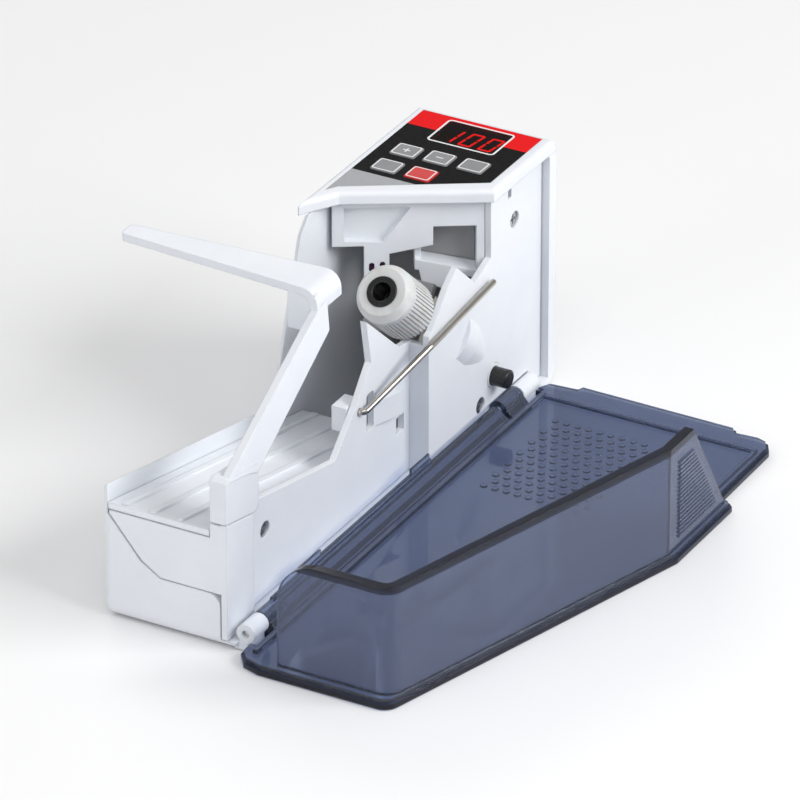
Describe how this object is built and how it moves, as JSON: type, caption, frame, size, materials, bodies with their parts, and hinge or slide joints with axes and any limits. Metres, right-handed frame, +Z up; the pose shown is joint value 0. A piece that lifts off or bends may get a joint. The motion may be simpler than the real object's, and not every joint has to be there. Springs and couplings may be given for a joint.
{
  "type": "banknote counting machine",
  "caption": "Handheld banknote counter with sloping hopper, ribbed feed roller, folding note arm, keypad with LED display and a smoky flip-down tray cover.",
  "frame": {"origin": "middle of the body's flat underside", "axes": "+X along the body from the hopper end to the display end, +Y to the back away from the tray cover, +Z up"},
  "size_m": [0.1962, 0.1622, 0.086],
  "materials": {
    "white_abs": "cool white, semi-gloss moulded ABS",
    "smoke_clear": "smoky blue-grey transparent polycarbonate, glossy",
    "dark_window": "dark red-black filter window, glossy",
    "label_film": "printed film: red, black and silver-grey bands",
    "led_black": "black display block with lit red segments",
    "board_green": "green solder mask",
    "switch_black": "moulded black",
    "button_grey": "satin grey, light outline",
    "button_red": "satin red, light outline",
    "roller_rubber": "off-white, fine ribs",
    "grey_inner": "mid-grey inner plastic",
    "black_plastic": "satin black",
    "ground_steel": "ground bright steel",
    "polished_wire": "polished stainless wire",
    "gear_nylon": "natural nylon",
    "pinion_brass": "machined",
    "motor_steel": "drawn steel can",
    "sensor_dark": "infrared filter plastic",
    "cell_sleeve": "plain dark sleeve",
    "contact_steel": "nickel-plated spring steel",
    "screw_steel": "zinc-plated cross-head"
  },
  "bodies": {
    "body": {"rear_shell": "white_abs", "front_panel": "white_abs", "hopper_floor": "white_abs", "feed_guide": "white_abs", "recess_plate": "grey_inner", "top_cover": "white_abs", "arm_pivot": "white_abs", "wire_anchor": "white_abs", "motor_cradle": "grey_inner", "display_window": "dark_window", "control_label": "label_film", "led_display": "led_black", "control_board": "board_green", "main_board": "board_green", "tact_switches": "switch_black", "lid_switch": "switch_black", "switch_collar": "white_abs", "dc_jack": "black_plastic", "hinge_pins": "ground_steel", "wire_guide": "polished_wire", "shaft_bushes": "pinion_brass", "drive_motor": "motor_steel", "note_sensors": "sensor_dark", "battery_box": "grey_inner", "battery_cells": "cell_sleeve", "battery_contacts": "contact_steel", "housing_screws": "screw_steel"},
    "tray": {"tray_cover": "smoke_clear"},
    "arm": {"note_arm": "white_abs"},
    "roller": {"count_roller": "roller_rubber", "roller_hub": "black_plastic", "roller_shaft": "ground_steel", "drive_gear": "gear_nylon"},
    "motor_rotor": {"motor_pinion": "pinion_brass", "motor_shaft": "ground_steel"},
    "plunger": {"switch_plunger": "black_plastic"},
    "door": {"battery_door": "white_abs"},
    "plus_key": {"plus_button": "button_grey"},
    "minus_key": {"minus_button": "button_grey"},
    "batch_key": {"batch_button": "button_grey"},
    "add_key": {"add_button": "button_grey"},
    "start_key": {"start_button": "button_red"}
  },
  "joints": [
    {"name": "tray_hinge", "type": "hinge", "parent": "body", "child": "tray", "pos_m": [0, -0.024, 0.005], "axis": [-1, 0, 0], "range_deg": [0, 90]},
    {"name": "arm_fold", "type": "hinge", "parent": "body", "child": "arm", "pos_m": [-0.0786, -0.0169, 0.0394], "axis": [0, 1, 0], "range_deg": [0, 13]},
    {"name": "roller_spin", "type": "hinge", "parent": "body", "child": "roller", "pos_m": [0.0102, -0.012, 0.0652], "axis": [0.7466, 0, -0.6652], "continuous": true},
    {"name": "motor_spin", "type": "hinge", "parent": "body", "child": "motor_rotor", "pos_m": [0.00155, -0.012, 0.05549], "axis": [0.7466, 0, -0.6652], "continuous": true},
    {"name": "plunger_press", "type": "slide", "parent": "body", "child": "plunger", "axis": [0, 1, 0], "range_m": [0, 0.0034]},
    {"name": "battery_door_pull", "type": "slide", "parent": "body", "child": "door", "axis": [0, 1, 0], "range_m": [0, 0.03]},
    {"name": "plus_press", "type": "slide", "parent": "body", "child": "plus_key", "axis": [0, 0, -1], "range_m": [0, 0.0005], "stiffness_N_per_m": 400},
    {"name": "minus_press", "type": "slide", "parent": "body", "child": "minus_key", "axis": [0, 0, -1], "range_m": [0, 0.0005], "stiffness_N_per_m": 400},
    {"name": "batch_press", "type": "slide", "parent": "body", "child": "batch_key", "axis": [0, 0, -1], "range_m": [0, 0.0005], "stiffness_N_per_m": 400},
    {"name": "add_press", "type": "slide", "parent": "body", "child": "add_key", "axis": [0, 0, -1], "range_m": [0, 0.0005], "stiffness_N_per_m": 400},
    {"name": "start_press", "type": "slide", "parent": "body", "child": "start_key", "axis": [0, 0, -1], "range_m": [0, 0.0005], "stiffness_N_per_m": 400}
  ],
  "couplings": [
    {"joint": "arm_fold", "follows": "tray_hinge", "ratio": 0.14444},
    {"joint": "plunger_press", "follows": "tray_hinge", "m_per_rad": 0.0021645},
    {"joint": "motor_spin", "follows": "roller_spin", "ratio": -4.2}
  ]
}
